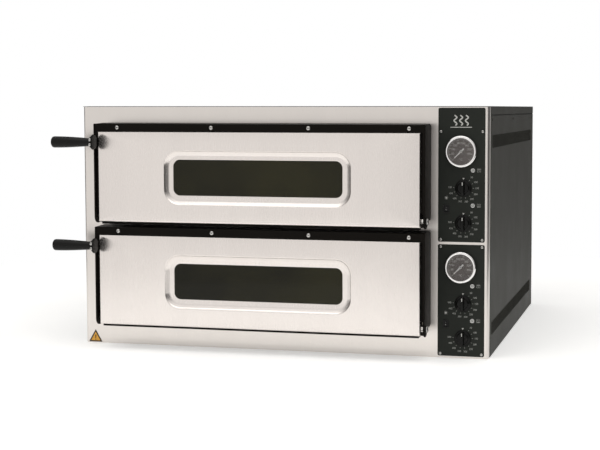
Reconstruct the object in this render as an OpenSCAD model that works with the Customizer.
// Two-deck electric countertop pizza oven.
// Millimetres, +X right (controls), -Y front, +Z up, origin at the centre of the underside.
// Every sub-part is one module, drawn in its place in the closed oven.

/* [Body] */
// overall width over the side panels, without their louvre lips
body_w = 1290; // [1240:5:1360]
// depth from the front fascia to the rear panel
body_d = 1170; // [1120:5:1260]
// height from the table to the top cover
body_h = 750; // [742:1:790]
// thickness of the sheet metal
sheet = 1.2; // [1:0.1:1.5]
// height of the skirt of the top cover
skirt_h = 25; // [18:1:34]

/* [Doors] */
// distance of the door centre to the left of the oven centre
door_shift = 47; // [45:1:49]
// width of the steel front skin of each door
panel_w = 1008; // [1000:1:1008]
// height of the steel front skin of each door
panel_h = 277; // [270:1:277]
// width over the two black side arms
casing_w = 1036; // [1036:1:1044]
// thickness of each side arm
arm_t = 5; // [4:0.5:6]
// distance that the door stands in front of the fascia
door_proud = 100; // [98:1:104]
// height of the upper door pivot
pivot_z_upper = 412.5; // [412:0.5:414]
// height of the lower door pivot
pivot_z_lower = 95; // [94:0.5:96]
// width of the raised window frame opening in the skin
window_w = 582; // [540:1:620]
// height of the raised window frame opening in the skin
window_h = 161; // [150:1:168]
// corner radius of the window recess
window_r = 42; // [30:1:50]
// depth of the stamped window recess
window_depth = 9; // [7:0.5:11]
// radius of the door pivot pins
pin_r = 6; // [5:0.5:7]

/* [Handles] */
// length of each black grip
grip_l = 125; // [90:1:130]
// radius of the grip at its free end
grip_r = 17.5; // [15:0.5:19]
// radius of the hub at the arm
hub_r = 23.5; // [22:0.5:25]

/* [Chambers] */
// half of the inside width of each chamber
chamber_half = 465; // [455:1:470]
// inside depth of each chamber behind the fascia
chamber_d = 985; // [900:5:995]
// thickness of the refractory slabs
stone_t = 15; // [12:1:17]
// radius of the tubular heating elements
element_r = 4; // [3.5:0.25:4.5]

/* [Controls] */
// width of the black control plates
plate_w = 140; // [136:1:142]
// radius of the dial thermometer bezel
bezel_r = 47.5; // [44:0.5:49]
// radius of the thermostat knob skirt
knob_r = 24.5; // [20:0.5:25]
// length that a knob stands in front of its plate
knob_l = 24; // [20:1:28]
// radius of the thermostat spindles
spindle_r = 3; // [2.5:0.25:3.5]

/* [Side louvres] */
// number of louvre slots in one row
louvre_n = 40; // [20:1:40]
// height of one louvre slot
louvre_h = 38; // [24:1:42]

/* [Hidden] */
$fn = 48;
eps = 0.01;
half_w = body_w / 2;
front_y = -body_d / 2;
rear_y = body_d / 2;
fascia_half = half_w - sheet;
fascia_back = front_y + sheet;
rear_in = rear_y - sheet;
top_in = body_h - sheet;

pivot_back = 72;
pivot_y = front_y - pivot_back;
skin_front = -(door_proud - pivot_back);
leaf_back = 17;
gasket_d = 8;
collar_front = leaf_back + gasket_d;
leaf_low = -17.5;
leaf_top = leaf_low + panel_h;
hood_front_h = 24;
hood_top = leaf_top + hood_front_h;
arm_rear = 70;
panel_half = panel_w / 2;
casing_half = casing_w / 2;
window_x = 4;
window_u = 120.5;
glass_w = window_w - 52;
glass_h = window_h - 51.5;
glass_u = window_u + 0.75;
bracket_out = casing_half - arm_t - 3.5;
bracket_t = 4.5;
run = 0.05;
seam = 0.05;
rim = 10;
rail_y = [-520, -255, 68, 380];
screw_hole_r = 1.75;
screw_head_r = 4;
hood_bolt_r = 2.5;
hub_bolt_r = 2;
hub_head_r = 4.5;

mouth_low = 40;
mouth_high = 190;
muffle_low = 4;
muffle_high = 192;
muffle_half = chamber_half + sheet;
muffle_rear = fascia_back + chamber_d;
rail_top = mouth_low + 2 - stone_t;
floor_u = 16;
roof_u = 178;
insulation_front = front_y + 20;
insulation_rear = muffle_rear + sheet + 95;
partition_x = 486;
wool_left = -half_w + 14;

column_x = 562;
upper_plate_low = 348;
upper_plate_high = 745.5;
lower_plate_low = 6;
lower_plate_high = 340.5;
control_drop = 343.5;
gauge_z = 616.5;
gauge_x = 561;
knob_x = 568;
knob_z_roof = 508;
knob_z_floor = 404;
lamp_x = 596;
lamp_z_roof = 561;
lamp_z_floor = 457;
rocker_x = 517;
rocker_z = 446;
plate_front = front_y - sheet;
screw_in_x = 8;
plate_screw_in = 7;

lamp_y = -470;
lamp_u = 132;
vent_u = 150;
vent_r = 30;
gland_x = 585;
gland_z = 90;
gland_r = 14;

hairpin_y = [-420, -95, 230];
leg_half = 60;
element_left = -440;
element_right = 510;

tray_h = 22;
fascia_bend = 7;
fascia_flange = 24;
louvre_pitch = 26;
louvre_w = 8;
louvre_lip = 3;
louvre_low_z = 84;
louvre_high_z = 645;
louvre_shift = -15;
skirt_z = body_h - skirt_h;
side_top = skirt_z - 3;
joggle = 4;
side_front = front_y + fascia_bend + fascia_flange;
side_screw_y = [-535, -30, 545];
rear_slot_w = 60;
rear_screw_x = [-600, -200, 200, 600];
slab_gap = 1.5;
slab_w = (2 * chamber_half - 4 * slab_gap) / 3;
lamp_in = chamber_half - door_shift;
plate_r = 5;
upper_screw_z = 675;
gauge_case_r = 40;
gauge_glass_r = 42.5;
dial_y = 7;
bezel_proud = 14;
needle_pin_r = 1.5;
needle_stand = 3;
needle_t = 0.8;
needle_l = 29;
needle_tail = 10;
needle_rest = 45;
thermostat_front = 8;
grip_bar_w = 10;
switch_w = 13;
switch_h = 19;
rocker_tilt = 9;
rocker_pin_r = 1.2;
pilot_r = 5;
sign_side = 46;
sign_x = -612;
sign_low = 2.5;
elec_x = partition_x + sheet;
loom_r = 7;
bracket_half = 13;
arm_disc_r = 22;
hood_crest = 3;
hood_t = 3;
hood_screw_x = [-440, -136.5, 167, 470.5];
hood_screw_u = 13;
flange_low = 24;
flange_back = 9;
cup_from = 190;
cup_to = 228;
sill_in = 6;
sill_h = 7;
sill_y = [-16, 14];
bottom_r = 6;
pane_t = 4;
pane_lap = 12;
outer_pane_y = skin_front + window_depth;
inner_pane_y = leaf_back - sheet - pane_t;
handle_u = 228;
handle_y = skin_front - hub_r - 1.5;
hub_inner = casing_half - 14;
hub_outer = casing_half - 1;
hub_foot_w = 13;

steel = [0.80, 0.79, 0.77];
black = [0.07, 0.06, 0.06];
dark = [0.24, 0.24, 0.22];
wool_c = [0.86, 0.83, 0.66];

// ---------- helpers ----------

// box from its low corner to its high corner
module span(a, b) {
    translate(a)
        cube([b[0] - a[0], b[1] - a[1], b[2] - a[2]]);
}

// rounded rectangle, centred
module rrect(w, h, r) {
    square([w - 2 * r, h], center = true);
    square([w, h - 2 * r], center = true);
    for (sx = [-1, 1])
        for (sy = [-1, 1])
            translate([sx * (w / 2 - r), sy * (h / 2 - r)])
                circle(r);
}

// a flat outline (x, z) given thickness from y = y0 to y = y1
module upright(y0, y1) {
    translate([0, y1, 0])
        rotate([90, 0, 0])
            linear_extrude(y1 - y0)
                children();
}

// a side profile (y, z) given width from x = x0 to x = x1
module profile(x0, x1) {
    translate([x0, 0, 0])
        rotate([90, 0, 90])
            linear_extrude(x1 - x0)
                children();
}

// cylinder along +Y from y0 to y1
module rod_y(r, y0, y1) {
    translate([0, y1, 0])
        rotate([90, 0, 0])
            cylinder(r = r, h = y1 - y0);
}

// cylinder along +X from x0 to x1
module rod_x(r, x0, x1) {
    translate([x0, 0, 0])
        rotate([0, 90, 0])
            cylinder(r = r, h = x1 - x0);
}

// moves a door piece to its pivot
module at_pivot(z) {
    translate([-door_shift, pivot_y, z])
        children();
}

// repeats for both decks
module both_decks() {
    for (z = [pivot_z_upper, pivot_z_lower])
        at_pivot(z)
            children();
}

// repeats the upper controls for the lower deck
module both_controls() {
    for (drop = [0, control_drop])
        translate([0, 0, -drop])
            children();
}

// ---------- outer case ----------

module base_tray() {
    side = fascia_half - sheet;
    color(dark)
        difference() {
            union() {
                span([-side, front_y + fascia_bend + 1, 0], [side, rear_in, tray_h]);
                span([-side + fascia_bend, fascia_back, 0], [side - fascia_bend, 0, tray_h]);
            }
            span([-side + fascia_bend + sheet, fascia_back + sheet, sheet],
                 [side - fascia_bend - sheet, rear_in - sheet, tray_h + 1]);
            span([-side + sheet, front_y + fascia_bend + 1 + sheet, sheet],
                 [side - sheet, rear_in - sheet, tray_h + 1]);
            for (x = [-420 : 120 : 420])
                for (y = [-200, 200])
                    span([x - 30, y, -1], [x + 30, y + 6, 3]);
            plate_screw_places()
                rod_y(screw_hole_r, -1, 5);
        }
}

// centre line of a fascia edge seen from above, for one side
module fascia_edge() {
    difference() {
        circle(fascia_bend);
        circle(fascia_bend - sheet);
        translate([-2 * fascia_bend, 0])
            square(4 * fascia_bend);
        translate([-4 * fascia_bend, -2 * fascia_bend])
            square(4 * fascia_bend);
    }
}

module fascia_outline() {
    translate([-fascia_half + fascia_bend, front_y])
        square([2 * (fascia_half - fascia_bend), sheet]);
    for (s = [0, 1])
        mirror([s, 0])
            translate([fascia_half - fascia_bend, front_y + fascia_bend]) {
                fascia_edge();
                translate([fascia_bend - sheet, 0])
                    square([sheet, fascia_flange]);
            }
}

module front_fascia() {
    color(steel)
        difference() {
            linear_extrude(body_h - sheet - 0.5)
                fascia_outline();
            for (z = [pivot_z_upper, pivot_z_lower])
                span([-door_shift - muffle_half, front_y - 1, z + mouth_low - sheet],
                     [-door_shift + muffle_half, front_y + 3, z + mouth_high + sheet]);
            span([column_x - 56, front_y - 1, upper_plate_low + 14],
                 [column_x + 56, front_y + 3, upper_plate_high - 14]);
            span([column_x - 56, front_y - 1, lower_plate_low + 14],
                 [column_x + 56, front_y + 3, lower_plate_high - 14]);
            plate_screw_places()
                rod_y(screw_hole_r, -1, 5);
        }
}

module louvre_places() {
    for (z = [louvre_low_z, louvre_high_z])
        for (i = [0 : louvre_n - 1])
            translate([0, (i - (louvre_n - 1) / 2) * louvre_pitch + louvre_shift, z])
                children();
}

// right side panel; the left one is its mirror image
module side_panel() {
    difference() {
        union() {
            span([fascia_half, side_front, 1], [half_w, rear_y, side_top]);
            louvre_places()
                profile(fascia_half + eps, half_w + louvre_lip)
                    square([1.2, louvre_h], center = true);
            span([fascia_half - joggle, side_front + 2, side_top - 6],
                 [fascia_half - joggle + sheet, rear_in - 2, side_top + 12]);
            span([fascia_half - joggle, side_front + 2, side_top - 6],
                 [fascia_half + eps, rear_in - 2, side_top - 6 + sheet]);
            span([fascia_half - 16, side_front + 30, side_top + 12 - sheet],
                 [fascia_half - joggle + eps, rear_in - 20, side_top + 12]);
        }
        louvre_places()
            span([fascia_half - 1, 0.6, -louvre_h / 2], [half_w + 1, louvre_w, louvre_h / 2]);
        for (y = side_screw_y)
            translate([0, y, side_top - 12])
                rod_x(screw_hole_r, fascia_half - 1, half_w + 1);
    }
}

module side_panel_right() {
    color(dark)
        side_panel();
}

module side_panel_left() {
    color(dark)
        mirror([1, 0, 0])
            side_panel();
}

module rear_panel() {
    color(dark)
        difference() {
            span([-fascia_half + eps, rear_in, 1], [fascia_half - eps, rear_y, side_top + 12]);
            both_decks()
                translate([0, 0, vent_u])
                    rod_y(vent_r, 0, 2 * body_d);
            for (x = [-480 : 120 : 480])
                for (z = [330 : 14 : 386])
                    span([x - rear_slot_w / 2, rear_in - 1, z],
                         [x + rear_slot_w / 2, rear_y + 1, z + 5]);
            translate([gland_x, 0, gland_z])
                rod_y(gland_r, rear_in - 1, rear_y + 1);
            for (x = rear_screw_x)
                translate([x, 0, side_top - 12])
                    rod_y(screw_hole_r, rear_in - 1, rear_y + 1);
        }
}

module top_cover() {
    color(dark)
        difference() {
            span([-half_w, front_y, skirt_z], [half_w, rear_y + sheet, body_h]);
            span([-half_w + sheet, fascia_back - 1, side_top], [half_w - sheet, rear_y, top_in]);
            span([-half_w - 1, front_y - 1, side_top], [half_w + 1, side_front, top_in]);
        }
}

module partition() {
    color(steel)
        difference() {
            union() {
                span([partition_x, fascia_back + 2, sheet],
                     [partition_x + sheet, rear_in - 2, side_top + 8]);
                span([partition_x, fascia_back + 2, sheet], [partition_x + 16, rear_in - 2, 3]);
            }
            element_legs(roof_u)
                rod_x(element_r, partition_x - 5, partition_x + 5);
            element_legs(floor_u)
                rod_x(element_r, partition_x - 5, partition_x + 5);
            chamber_lamp_places()
                rod_x(21, partition_x - 5, partition_x + 5);
        }
}

// ---------- chambers ----------

module element_legs(u) {
    for (z = [pivot_z_upper, pivot_z_lower])
        for (y = hairpin_y)
            for (s = [-1, 1])
                translate([0, y + s * leg_half, z + u])
                    children();
}

module chamber_lamp_places() {
    for (z = [pivot_z_upper, pivot_z_lower])
        translate([0, lamp_y, z + lamp_u])
            children();
}

// folded plates of one chamber, spot-welded: the seams are drawn as hairline gaps
module muffle(z) {
    left = -door_shift - muffle_half;
    right = -door_shift + muffle_half;
    front = pivot_y + collar_front;
    difference() {
        union() {
            for (u = [muffle_low - sheet, muffle_high])
                span([left, fascia_back, z + u], [right, muffle_rear + sheet, z + u + sheet]);
            for (x = [left, right - sheet])
                span([x, fascia_back + sheet + seam, z + muffle_low + seam],
                     [x + sheet, muffle_rear - seam, z + muffle_high - seam]);
            span([left, muffle_rear, z + muffle_low + seam],
                 [right, muffle_rear + sheet, z + muffle_high - seam]);
            span([left, fascia_back, z + muffle_low + seam],
                 [right, fascia_back + sheet, z + mouth_low - sheet - seam]);
            for (x = [left, right - sheet])
                span([x, front + sheet + seam, z + mouth_low + seam],
                     [x + sheet, fascia_back + sheet, z + mouth_high - seam]);
            for (u = [mouth_low - sheet, mouth_high])
                span([left, front + sheet + seam, z + u],
                     [right, fascia_back + sheet, z + u + sheet]);
            for (x = [left - rim, right - sheet])
                span([x, front, z + mouth_low + seam],
                     [x + rim + sheet, front + sheet, z + mouth_high - seam]);
            for (u = [mouth_low - rim, mouth_high])
                span([left - rim, front, z + u], [right + rim, front + sheet, z + u + rim]);
            for (y = rail_y) {
                span([left + sheet + seam, y, z + muffle_low + seam],
                     [right - sheet - seam, y + sheet, z + rail_top - eps]);
                span([left + sheet + seam, y - 10, z + rail_top - sheet],
                     [right - sheet - seam, y + 12, z + rail_top]);
            }
        }
        translate([0, 0, z - pivot_z_lower]) {
            element_legs_one(roof_u)
                rod_x(element_r, 400, 430);
            element_legs_one(floor_u)
                rod_x(element_r, 400, 430);
        }
        translate([0, lamp_y, z + lamp_u])
            rod_x(20, 400, 430);
        translate([-door_shift, 0, z + vent_u])
            rod_y(vent_r, muffle_rear - 5, muffle_rear + 5);
    }
}

module element_legs_one(u) {
    for (y = hairpin_y)
        for (s = [-1, 1])
            translate([0, y + s * leg_half, pivot_z_lower + u])
                children();
}

module muffle_upper() {
    color(steel)
        muffle(pivot_z_upper);
}

module muffle_lower() {
    color(steel)
        muffle(pivot_z_lower);
}

module stone_slabs() {
    color([0.78, 0.70, 0.58])
        for (z = [pivot_z_upper, pivot_z_lower])
            for (i = [-1, 0, 1])
                translate([-door_shift + i * (slab_w + slab_gap), 0, 0])
                    span([-slab_w / 2, fascia_back + sheet + 3, z + rail_top],
                         [slab_w / 2, muffle_rear - 3, z + rail_top + stone_t]);
}

module hairpin() {
    for (s = [-1, 1])
        translate([0, s * leg_half, 0])
            rod_x(element_r, element_left, element_right);
    translate([element_left, 0, 0])
        rotate([0, 0, 90])
            rotate_extrude(angle = 180)
                translate([leg_half, 0])
                    circle(element_r, $fn = 24);
}

module elements(u) {
    for (z = [pivot_z_upper, pivot_z_lower])
        for (y = hairpin_y)
            translate([0, y, z + u])
                hairpin();
}

module roof_elements() {
    color([0.30, 0.27, 0.25])
        elements(roof_u);
}

module floor_elements() {
    color([0.30, 0.27, 0.25])
        elements(floor_u);
}

module insulation_slabs() {
    low = [sheet, pivot_z_lower + muffle_high + sheet, pivot_z_upper + muffle_high + sheet];
    high = [pivot_z_lower + muffle_low - sheet, pivot_z_upper + muffle_low - sheet,
            side_top + 4];
    color(wool_c)
        for (i = [0 : 2])
            span([wool_left, insulation_front, low[i]],
                 [partition_x, insulation_rear, high[i]]);
}

module insulation_walls() {
    color(wool_c)
        difference() {
            for (z = [pivot_z_upper, pivot_z_lower]) {
                span([wool_left, insulation_front, z + muffle_low - sheet],
                     [-door_shift - muffle_half, insulation_rear, z + muffle_high + sheet]);
                span([-door_shift + muffle_half, insulation_front, z + muffle_low - sheet],
                     [partition_x, insulation_rear, z + muffle_high + sheet]);
                span([-door_shift - muffle_half, muffle_rear + sheet, z + muffle_low - sheet],
                     [-door_shift + muffle_half, insulation_rear, z + muffle_high + sheet]);
            }
            element_legs(roof_u)
                rod_x(element_r, 400, 500);
            element_legs(floor_u)
                rod_x(element_r, 400, 500);
            chamber_lamp_places()
                rod_x(21, 400, 500);
            both_decks()
                translate([0, 0, vent_u])
                    rod_y(vent_r, 0, 2 * body_d);
        }
}

module chamber_lamps() {
    color([0.85, 0.85, 0.82])
        chamber_lamp_places() {
            rod_x(27, lamp_in - 3, lamp_in);
            rod_x(23, lamp_in - 12, lamp_in - 3 + eps);
            rod_x(20, lamp_in - eps, partition_x + 20);
        }
}

module vent_ducts() {
    color(steel)
        both_decks()
            translate([0, 0, vent_u])
                difference() {
                    union() {
                        rod_y(vent_r, muffle_rear - pivot_y - 4, rear_y - pivot_y);
                        rod_y(vent_r + 10, rear_in - pivot_y - 3, rear_in - pivot_y);
                    }
                    rod_y(vent_r - 1.2, 0, 2 * body_d);
                }
}

// ---------- control column ----------

module control_plate(low, high, drop) {
    height = high - low;
    difference() {
        translate([column_x, 0, low + height / 2])
            upright(plate_front, front_y)
                rrect(plate_w, height, plate_r);
        translate([0, 0, -drop]) {
            translate([gauge_x, plate_front, gauge_z])
                rod_y(gauge_case_r, -1, 5);
            for (z = [knob_z_roof, knob_z_floor])
                translate([knob_x, plate_front, z])
                    rod_y(spindle_r + 1.5, -1, 5);
            for (z = [lamp_z_roof, lamp_z_floor])
                translate([lamp_x, plate_front, z])
                    rod_y(pilot_r, -1, 5);
            span([rocker_x - switch_w / 2, plate_front - 1, rocker_z - switch_h / 2],
                 [rocker_x + switch_w / 2, front_y + 1, rocker_z + switch_h / 2]);
        }
        plate_screw_places()
            rod_y(screw_hole_r, -5, 5);
    }
}

module plate_upper() {
    color([0.16, 0.16, 0.15])
        control_plate(upper_plate_low, upper_plate_high, 0);
}

module plate_lower() {
    color([0.16, 0.16, 0.15])
        control_plate(lower_plate_low, lower_plate_high, control_drop);
}

module plate_screw_places() {
    for (s = [-1, 1])
        for (z = [upper_screw_z, upper_plate_low + plate_screw_in,
                  lower_plate_high - plate_screw_in, lower_plate_low + plate_screw_in])
            translate([column_x + s * (plate_w / 2 - screw_in_x), front_y, z])
                children();
}

module plate_screws() {
    color(steel)
        plate_screw_places() {
            rod_y(screw_hole_r, -sheet - eps, 3);
            difference() {
                rod_y(screw_head_r, -sheet - 1.6, -sheet);
                span([-5, -sheet - 2, -0.4], [5, -sheet - 0.8, 0.4]);
            }
        }
}

// turned section of a thermometer: x is the radius, y the distance behind the plate front
module gauge_section() {
    translate([0, dial_y - bezel_proud])
        square([gauge_glass_r - 1.5, 1.2]);
    translate([gauge_glass_r - 3, dial_y - bezel_proud])
        square([3, bezel_proud - dial_y]);
    difference() {
        translate([gauge_glass_r - 1.5, -bezel_proud])
            square([bezel_r - gauge_glass_r + 1.5, bezel_proud]);
        translate([gauge_glass_r - 1.6, -bezel_proud + 1.4])
            square([1.6, 2.2]);
        translate([bezel_r, -bezel_proud])
            circle(3);
    }
    translate([gauge_case_r - 1.2, -bezel_proud + dial_y])
        square([1.2, bezel_proud + 22]);
    translate([0, 25.8])
        square([gauge_case_r, 1.2]);
    translate([0, dial_y - bezel_proud])
        square([3, bezel_proud + 22]);
}

module gauge_bodies() {
    color(steel)
        both_controls()
            translate([gauge_x, plate_front, gauge_z]) {
                rotate([-90, 0, 0])
                    rotate_extrude()
                        gauge_section();
                rod_y(needle_pin_r, dial_y - bezel_proud - needle_stand,
                      dial_y - bezel_proud + 1);
            }
}

module gauge_glasses() {
    color([0.85, 0.88, 0.90, 0.4])
        both_controls()
            translate([gauge_x, plate_front, gauge_z])
                rod_y(gauge_glass_r, -bezel_proud + 1.5, -bezel_proud + 3.5);
}

// needle pointing at the lower end of the scale
module needle() {
    translate([gauge_x, plate_front + dial_y - bezel_proud - 2.3, gauge_z])
        rotate([0, needle_rest, 0])
            upright(0, needle_t)
                difference() {
                    union() {
                        circle(3.4);
                        translate([0, needle_tail])
                            circle(2.8);
                        polygon([[-0.3, -needle_l], [0.3, -needle_l], [1.4, 0],
                                 [1.2, needle_tail], [-1.2, needle_tail], [-1.4, 0]]);
                    }
                    circle(needle_pin_r + run);
                }
}

module needle_upper() {
    color([0.95, 0.95, 0.92])
        needle();
}

module needle_lower() {
    color([0.95, 0.95, 0.92])
        translate([0, 0, -control_drop])
            needle();
}

module thermostats() {
    color([0.75, 0.74, 0.70])
        both_controls()
            for (z = [knob_z_roof, knob_z_floor])
                translate([knob_x, front_y, z])
                    difference() {
                        union() {
                            span([-22, thermostat_front + 4, -18],
                                 [22, thermostat_front + 44, 18]);
                            rod_y(15, thermostat_front + 2, thermostat_front + 5);
                            span([-30, thermostat_front, -8], [30, thermostat_front + 2 + eps, 8]);
                            for (s = [-1, 1])
                                translate([s * 27, 0, 0])
                                    rod_y(3, 0, thermostat_front + 1);
                        }
                        rod_y(spindle_r + run, -1, 40);
                    }
}

// control knob: skirt, tapered body and a finger bar across it
module knob(z) {
    translate([knob_x, plate_front, z])
        difference() {
            union() {
                rotate([90, 0, 0])
                    rotate_extrude()
                        polygon([[0, 1], [knob_r - 1, 1], [knob_r, 2], [knob_r, 4], [knob_r - 2, 6],
                                 [knob_r - 7, 7], [knob_r - 8, 11], [0, 11]]);
                intersection() {
                    rod_y(knob_r - 3, -knob_l, -8);
                    span([-grip_bar_w / 2, -knob_l, -knob_r], [grip_bar_w / 2, -8, knob_r]);
                }
                rod_y(spindle_r, -2, 32);
            }
            span([-0.7, -knob_l - 1, 8], [0.7, -knob_l + 0.6, knob_r]);
        }
}

module knob_roof_upper() {
    color(black)
        knob(knob_z_roof);
}

module knob_floor_upper() {
    color(black)
        knob(knob_z_floor);
}

module knob_roof_lower() {
    color(black)
        knob(knob_z_roof - control_drop);
}

module knob_floor_lower() {
    color(black)
        knob(knob_z_floor - control_drop);
}

module switch_bodies() {
    color(black)
        both_controls()
            translate([rocker_x, plate_front, rocker_z])
                difference() {
                    union() {
                        span([-switch_w / 2 - 2, -2, -switch_h / 2 - 2],
                             [switch_w / 2 + 2, 0, switch_h / 2 + 2]);
                        span([-switch_w / 2, -1, -switch_h / 2], [switch_w / 2, 22, switch_h / 2]);
                    }
                    span([-switch_w / 2 + 1.5, -3, -switch_h / 2 + 1.2],
                         [switch_w / 2 - 1.5, 12, switch_h / 2 - 1.2]);
                    translate([0, 2, 0])
                        rod_x(rocker_pin_r + run, -switch_w / 2 + 0.5, switch_w / 2 - 0.5);
                }
}

// rocker on its cross pin, rocked to the off side
module rocker(z) {
    translate([rocker_x, plate_front + 2, z])
        rotate([-rocker_tilt, 0, 0]) {
            difference() {
                intersection() {
                    rod_x(8, -switch_w / 2 + 1.8, switch_w / 2 - 1.8);
                    span([-switch_w, -6, -8], [switch_w, 1.5, 8]);
                }
                translate([0, -24, 0])
                    rod_x(19.5, -switch_w, switch_w);
            }
            rod_x(rocker_pin_r, -switch_w / 2 + 0.6, switch_w / 2 - 0.6);
        }
}

module rocker_upper() {
    color(black)
        rocker(rocker_z);
}

module rocker_lower() {
    color(black)
        rocker(rocker_z - control_drop);
}

module pilot_lamps() {
    color([0.80, 0.80, 0.78])
        both_controls()
            for (z = [lamp_z_roof, lamp_z_floor])
                translate([lamp_x, plate_front, z]) {
                    rod_y(pilot_r, -1, 26);
                    rod_y(pilot_r + 1.2, -1.5, 0);
                    intersection() {
                        translate([0, 0.5, 0])
                            sphere(4.6);
                        rod_y(pilot_r, -6, -1);
                    }
                }
}

module warning_sign() {
    h = sign_side * sqrt(3) / 2;
    color([0.85, 0.62, 0.12])
        translate([sign_x, 0, sign_low])
            upright(front_y - 0.4, front_y)
                polygon([[-sign_side / 2, 0], [sign_side / 2, 0], [0, h]]);
}

// ---------- electrical compartment ----------

module contactors() {
    color([0.30, 0.31, 0.33]) {
        span([elec_x, 20, 320], [elec_x + 7.5, 280, 355]);
        for (i = [0 : 3])
            translate([elec_x + 7.5, 30 + i * 60, 300]) {
                span([0, 0, 0], [60, 45, 75]);
                span([55, 8, 20], [78, 37, 55]);
                for (j = [0 : 2])
                    for (z = [8, 67])
                        translate([60, 10 + j * 12.5, z])
                            rod_x(3.5, -5, 2);
            }
    }
}

module terminal_block() {
    color([0.88, 0.86, 0.80]) {
        for (i = [0 : 4])
            translate([elec_x, 400 + i * 17, 200]) {
                difference() {
                    span([0, 0, 0], [34, 16.99, 50]);
                    for (z = [12, 38])
                        translate([34, 8.5, z])
                            rod_x(4.5, -12, 1);
                }
                span([0, 0, 18], [38, 17.02, 32]);
            }
    }
}

// straight run of square cable trunking between two points along one axis
module trunking(a, b) {
    span([min(a[0], b[0]) - loom_r, min(a[1], b[1]) - loom_r, min(a[2], b[2]) - loom_r],
         [max(a[0], b[0]) + loom_r, max(a[1], b[1]) + loom_r, max(a[2], b[2]) + loom_r]);
}

module wiring_loom() {
    wall = elec_x + loom_r;
    run_points = [
        [gland_x, rear_in - 34, gland_z], [gland_x, 470, gland_z], [wall, 470, gland_z],
        [wall, 470, 182], [wall, 330, 182], [wall, 330, 625], [wall, -15, 625],
        [wall, -15, 395], [wall, -530, 395], [wall, -530, 640], [wall, -530, 90]
    ];
    color([0.55, 0.30, 0.16])
        for (i = [0 : len(run_points) - 2])
            trunking(run_points[i], run_points[i + 1]);
}

module cable_gland() {
    color(black)
        translate([gland_x, 0, gland_z])
            difference() {
                union() {
                    rod_y(gland_r, rear_in - 16, rear_y + 14);
                    rod_y(gland_r + 6, rear_y, rear_y + 6);
                    rod_y(gland_r + 5, rear_in - 6, rear_in);
                }
                rod_y(8, rear_in - 40, rear_y + 40);
            }
}

module panel_screws() {
    color(steel) {
        for (y = side_screw_y)
            for (s = [0, 1])
                mirror([s, 0, 0])
                    translate([0, y, side_top - 12]) {
                        rod_x(screw_hole_r, half_w - 6, half_w + eps);
                        rod_x(screw_head_r, half_w, half_w + 2);
                    }
        for (x = rear_screw_x)
            translate([x, 0, side_top - 12]) {
                rod_y(screw_hole_r, rear_y - 6, rear_y + eps);
                rod_y(screw_head_r, rear_y, rear_y + 1.4);
            }
    }
}

// ---------- doors ----------

module hinge_brackets() {
    color(steel)
        both_decks()
            for (s = [0, 1])
                mirror([s, 0, 0])
                    difference() {
                        union() {
                            profile(bracket_out - bracket_t, bracket_out) {
                                circle(bracket_half);
                                translate([0, -bracket_half])
                                    square([pivot_back, 2 * bracket_half]);
                            }
                            span([bracket_out - 26, pivot_back - 3, -16],
                                 [bracket_out, pivot_back, 16]);
                        }
                        rod_x(pin_r + run, bracket_out - bracket_t - 1, bracket_out + 1);
                    }
}

// side view of the hood, open at the rear
module hood_profile() {
    polygon([
        [skin_front, leaf_top], [skin_front, hood_top],
        [skin_front + 73, hood_top + hood_crest], [arm_rear, hood_top - 4],
        [arm_rear, hood_top - 4 - hood_t], [skin_front + 72, hood_top + hood_crest - hood_t],
        [skin_front + hood_t, hood_top - hood_t], [skin_front + hood_t, leaf_top]
    ]);
}

// side view of an arm, rounded below around the pivot
module arm_profile() {
    translate([skin_front + arm_disc_r, 0])
        circle(arm_disc_r);
    polygon([
        [skin_front, 0], [skin_front, hood_top], [skin_front + 73, hood_top + hood_crest],
        [arm_rear, hood_top - 4], [arm_rear, 8], [arm_rear - 8, 0]
    ]);
}

module door_casing() {
    difference() {
        union() {
            profile(-casing_half + arm_t - eps, casing_half - arm_t + eps)
                hood_profile();
            for (s = [0, 1])
                mirror([s, 0, 0])
                    profile(casing_half - arm_t, casing_half)
                        arm_profile();
            span([-casing_half + arm_t - eps, skin_front, handle_u - 22],
                 [-panel_half - 1, skin_front + hood_t, leaf_top + eps]);
            for (s = [0, 1])
                mirror([s, 0, 0])
                    arm_flanges();
            span([-panel_half + sill_in, sill_y[0], leaf_low - sill_h],
                 [panel_half - sill_in, sill_y[1], leaf_low]);
        }
        for (s = [0, 1])
            mirror([s, 0, 0])
                rod_x(pin_r, casing_half - arm_t - 1, casing_half + 1);
        hood_screw_places()
            rod_y(hood_bolt_r, -1, 5);
    }
}

// inward flanges of one arm: beside the skin, and a short lip under the pivot
module arm_flanges() {
    span([panel_half + 1, skin_front + flange_back, flange_low],
         [casing_half - arm_t + eps, skin_front + flange_back + sheet, leaf_top + eps]);
    profile(panel_half + 1, casing_half - arm_t + eps)
        translate([skin_front + arm_disc_r, 0])
            difference() {
                circle(arm_disc_r);
                circle(arm_disc_r - sheet);
                rotate(cup_to)
                    square(2 * arm_disc_r);
                rotate(cup_to + 90)
                    square(2 * arm_disc_r);
                rotate(cup_from - 90)
                    square(2 * arm_disc_r);
                rotate(cup_from - 180)
                    square(2 * arm_disc_r);
            }
}

module hood_screw_places() {
    for (x = hood_screw_x)
        translate([x, skin_front, leaf_top + hood_screw_u])
            children();
}

module dome_head(r) {
    difference() {
        intersection() {
            translate([0, 0.57 * r, 0])
                sphere(1.13 * r);
            rod_y(r, -r, 0);
        }
        rod_y(0.3 * r, -r, -0.27 * r);
    }
}

// dome screws: four in the hood, two in the handle hub
module door_screws() {
    hood_screw_places() {
        rod_y(hood_bolt_r, -eps, 8);
        dome_head(6);
    }
    hub_screw_places() {
        rod_y(hub_bolt_r, -1, 9);
        translate([0, -1, 0])
            dome_head(hub_head_r);
    }
}

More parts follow.
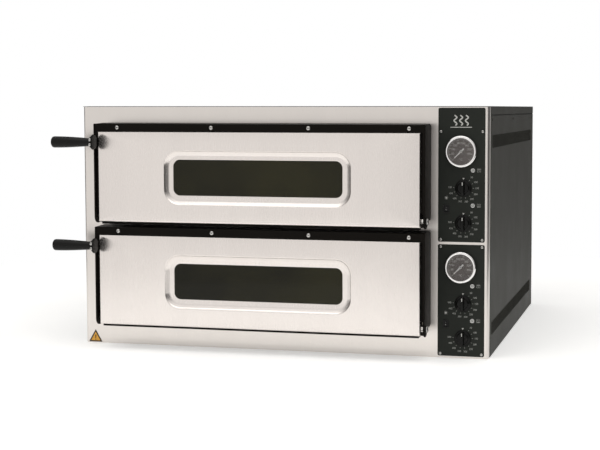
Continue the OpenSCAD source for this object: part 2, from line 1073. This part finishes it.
// steel front skin with the stamped window recess and folded edges
module door_skin() {
    back = skin_front + sheet;
    recess = skin_front + window_depth;
    difference() {
        union() {
            difference() {
                profile(-panel_half, panel_half)
                    skin_side();
                translate([window_x, 0, window_u])
                    upright(skin_front - 1, back + 1)
                        rrect(window_w, window_h, window_r);
            }
            translate([window_x, 0, window_u])
                upright(skin_front, recess)
                    difference() {
                        rrect(window_w + 2 * sheet, window_h + 2 * sheet, window_r + sheet);
                        rrect(window_w, window_h, window_r);
                    }
            upright(recess - sheet, recess)
                difference() {
                    translate([window_x, window_u])
                        rrect(window_w + 2, window_h + 2, window_r);
                    translate([window_x, glass_u])
                        rrect(glass_w, glass_h, window_r / 2);
                }
        }
        hood_screw_places()
            rod_y(hood_bolt_r, -1, 9);
    }
}

// side view of the skin: flat front, rounded lower edge, folds, upstand behind the hood
module skin_side() {
    difference() {
        union() {
            translate([skin_front, leaf_low + bottom_r])
                square([sheet, panel_h - bottom_r]);
            translate([skin_front + bottom_r, leaf_low + bottom_r])
                circle(bottom_r);
            translate([skin_front + bottom_r, leaf_low])
                square([24, sheet]);
            translate([skin_front, leaf_top - sheet])
                square([24, sheet]);
            translate([skin_front + hood_t, leaf_top - sheet])
                square([sheet, hood_front_h - 4]);
        }
        translate([skin_front + bottom_r, leaf_low + bottom_r])
            circle(bottom_r - sheet);
        translate([skin_front + bottom_r, leaf_low + sheet])
            square(2 * bottom_r);
        translate([skin_front + sheet, leaf_low + bottom_r])
            square(2 * bottom_r);
    }
}

// inner pan: rear face with the window opening, side and top walls
module inner_pan() {
    wall_front = skin_front + 8;
    difference() {
        span([-panel_half + 1, wall_front, leaf_low + sheet],
             [panel_half - 1, leaf_back, leaf_top - sheet]);
        span([-panel_half + 1 + sheet, wall_front - 1, leaf_low + 2 * sheet],
             [panel_half - 1 - sheet, leaf_back - sheet, leaf_top - 2 * sheet]);
        translate([window_x, 0, glass_u])
            upright(leaf_back - 5, leaf_back + 1)
                rrect(glass_w, glass_h, 10);
    }
}

module panes() {
    for (y = [outer_pane_y, inner_pane_y])
        translate([window_x, 0, glass_u])
            upright(y, y + pane_t)
                rrect(glass_w + 2 * pane_lap, glass_h + 2 * pane_lap, 8);
}

module door_wool() {
    difference() {
        span([-panel_half + 1 + sheet, skin_front + window_depth, leaf_low + 2 * sheet + 3],
             [panel_half - 1 - sheet, leaf_back - sheet, leaf_top - 2 * sheet]);
        translate([window_x, 0, glass_u])
            upright(skin_front, leaf_back + 1)
                rrect(glass_w + 2 * pane_lap, glass_h + 2 * pane_lap, 8);
    }
}

// sealing rope around the mouth of the chamber
module door_gasket() {
    w = 2 * muffle_half + 6;
    h = mouth_high - mouth_low + 10;
    translate([0, 0, (mouth_high + mouth_low) / 2])
        upright(leaf_back, leaf_back + gasket_d)
            difference() {
                rrect(w + gasket_d, h + gasket_d, 10);
                rrect(w - gasket_d, h - gasket_d, 4);
            }
}

// turned hub in front of the left arm, on a foot bolted to the arm flange
module handle_hub() {
    difference() {
        union() {
            translate([0, handle_y, handle_u])
                rotate([0, -90, 0])
                    rotate_extrude()
                        polygon([[0, hub_inner], [hub_r - 2, hub_inner], [hub_r, hub_inner + 2],
                                 [hub_r, hub_inner + 4], [hub_r - 8, hub_outer - 1],
                                 [hub_r - 9, hub_outer], [0, hub_outer]]);
            span([-hub_outer + 0.5, handle_y, handle_u - hub_foot_w],
                 [-hub_inner, skin_front, handle_u + hub_foot_w]);
        }
        hub_screw_places() {
            rod_y(hub_bolt_r, -12, 12);
            rod_y(hub_head_r + 0.1, -12, -1);
        }
    }
}

// the two clamp screws of the grip, one above the other
module hub_screw_places() {
    for (s = [-1, 1])
        translate([-hub_outer + 6, handle_y - hub_r + 7, handle_u + 7.5 * s])
            children();
}

module grip() {
    start = hub_outer;
    translate([0, handle_y, handle_u])
        rotate([0, -90, 0])
            rotate_extrude()
                polygon([[0, start], [11, start], [12, start + 4], [grip_r - 1, start + grip_l / 2],
                         [grip_r, start + grip_l - 8], [grip_r - 1.5, start + grip_l - 2.5],
                         [grip_r - 4, start + grip_l], [0, start + grip_l]]);
}

module pivot_bolts() {
    for (s = [0, 1])
        mirror([s, 0, 0]) {
            rod_x(pin_r, bracket_out - bracket_t - 1.5, casing_half + eps);
            rod_x(pin_r + 3, bracket_out + 0.5, casing_half - arm_t - 0.1);
            difference() {
                rod_x(pin_r + 4, casing_half, casing_half + 5);
                rod_x(3, casing_half + 2, casing_half + 6);
            }
        }
}

module casing_upper() {
    color(black)
        at_pivot(pivot_z_upper)
            door_casing();
}

module skin_upper() {
    color(steel)
        at_pivot(pivot_z_upper)
            door_skin();
}

module inner_pan_upper() {
    color(steel)
        at_pivot(pivot_z_upper)
            inner_pan();
}

module panes_upper() {
    color([0.20, 0.18, 0.12, 0.6])
        at_pivot(pivot_z_upper)
            panes();
}

module gasket_upper() {
    color([0.75, 0.73, 0.68])
        at_pivot(pivot_z_upper)
            door_gasket();
}

module door_wool_upper() {
    color(wool_c)
        at_pivot(pivot_z_upper)
            door_wool();
}

module handle_hub_upper() {
    color(black)
        at_pivot(pivot_z_upper)
            handle_hub();
}

module grip_upper() {
    color(black)
        at_pivot(pivot_z_upper)
            grip();
}

module pivot_bolts_upper() {
    color(steel)
        at_pivot(pivot_z_upper)
            pivot_bolts();
}

module door_screws_upper() {
    color(steel)
        at_pivot(pivot_z_upper)
            door_screws();
}

module casing_lower() {
    color(black)
        at_pivot(pivot_z_lower)
            door_casing();
}

module skin_lower() {
    color(steel)
        at_pivot(pivot_z_lower)
            door_skin();
}

module inner_pan_lower() {
    color(steel)
        at_pivot(pivot_z_lower)
            inner_pan();
}

module panes_lower() {
    color([0.20, 0.18, 0.12, 0.6])
        at_pivot(pivot_z_lower)
            panes();
}

module gasket_lower() {
    color([0.75, 0.73, 0.68])
        at_pivot(pivot_z_lower)
            door_gasket();
}

module door_wool_lower() {
    color(wool_c)
        at_pivot(pivot_z_lower)
            door_wool();
}

module handle_hub_lower() {
    color(black)
        at_pivot(pivot_z_lower)
            handle_hub();
}

module grip_lower() {
    color(black)
        at_pivot(pivot_z_lower)
            grip();
}

module pivot_bolts_lower() {
    color(steel)
        at_pivot(pivot_z_lower)
            pivot_bolts();
}

module door_screws_lower() {
    color(steel)
        at_pivot(pivot_z_lower)
            door_screws();
}

base_tray();
front_fascia();
side_panel_left();
side_panel_right();
rear_panel();
top_cover();
partition();
plate_upper();
plate_lower();
warning_sign();
muffle_upper();
muffle_lower();
stone_slabs();
roof_elements();
floor_elements();
insulation_slabs();
insulation_walls();
chamber_lamps();
vent_ducts();
gauge_bodies();
gauge_glasses();
needle_upper();
needle_lower();
thermostats();
knob_roof_upper();
knob_floor_upper();
knob_roof_lower();
knob_floor_lower();
switch_bodies();
rocker_upper();
rocker_lower();
pilot_lamps();
contactors();
terminal_block();
wiring_loom();
cable_gland();
hinge_brackets();
plate_screws();
panel_screws();
casing_upper();
skin_upper();
inner_pan_upper();
panes_upper();
gasket_upper();
door_wool_upper();
handle_hub_upper();
grip_upper();
pivot_bolts_upper();
door_screws_upper();
casing_lower();
skin_lower();
inner_pan_lower();
panes_lower();
gasket_lower();
door_wool_lower();
handle_hub_lower();
grip_lower();
pivot_bolts_lower();
door_screws_lower();
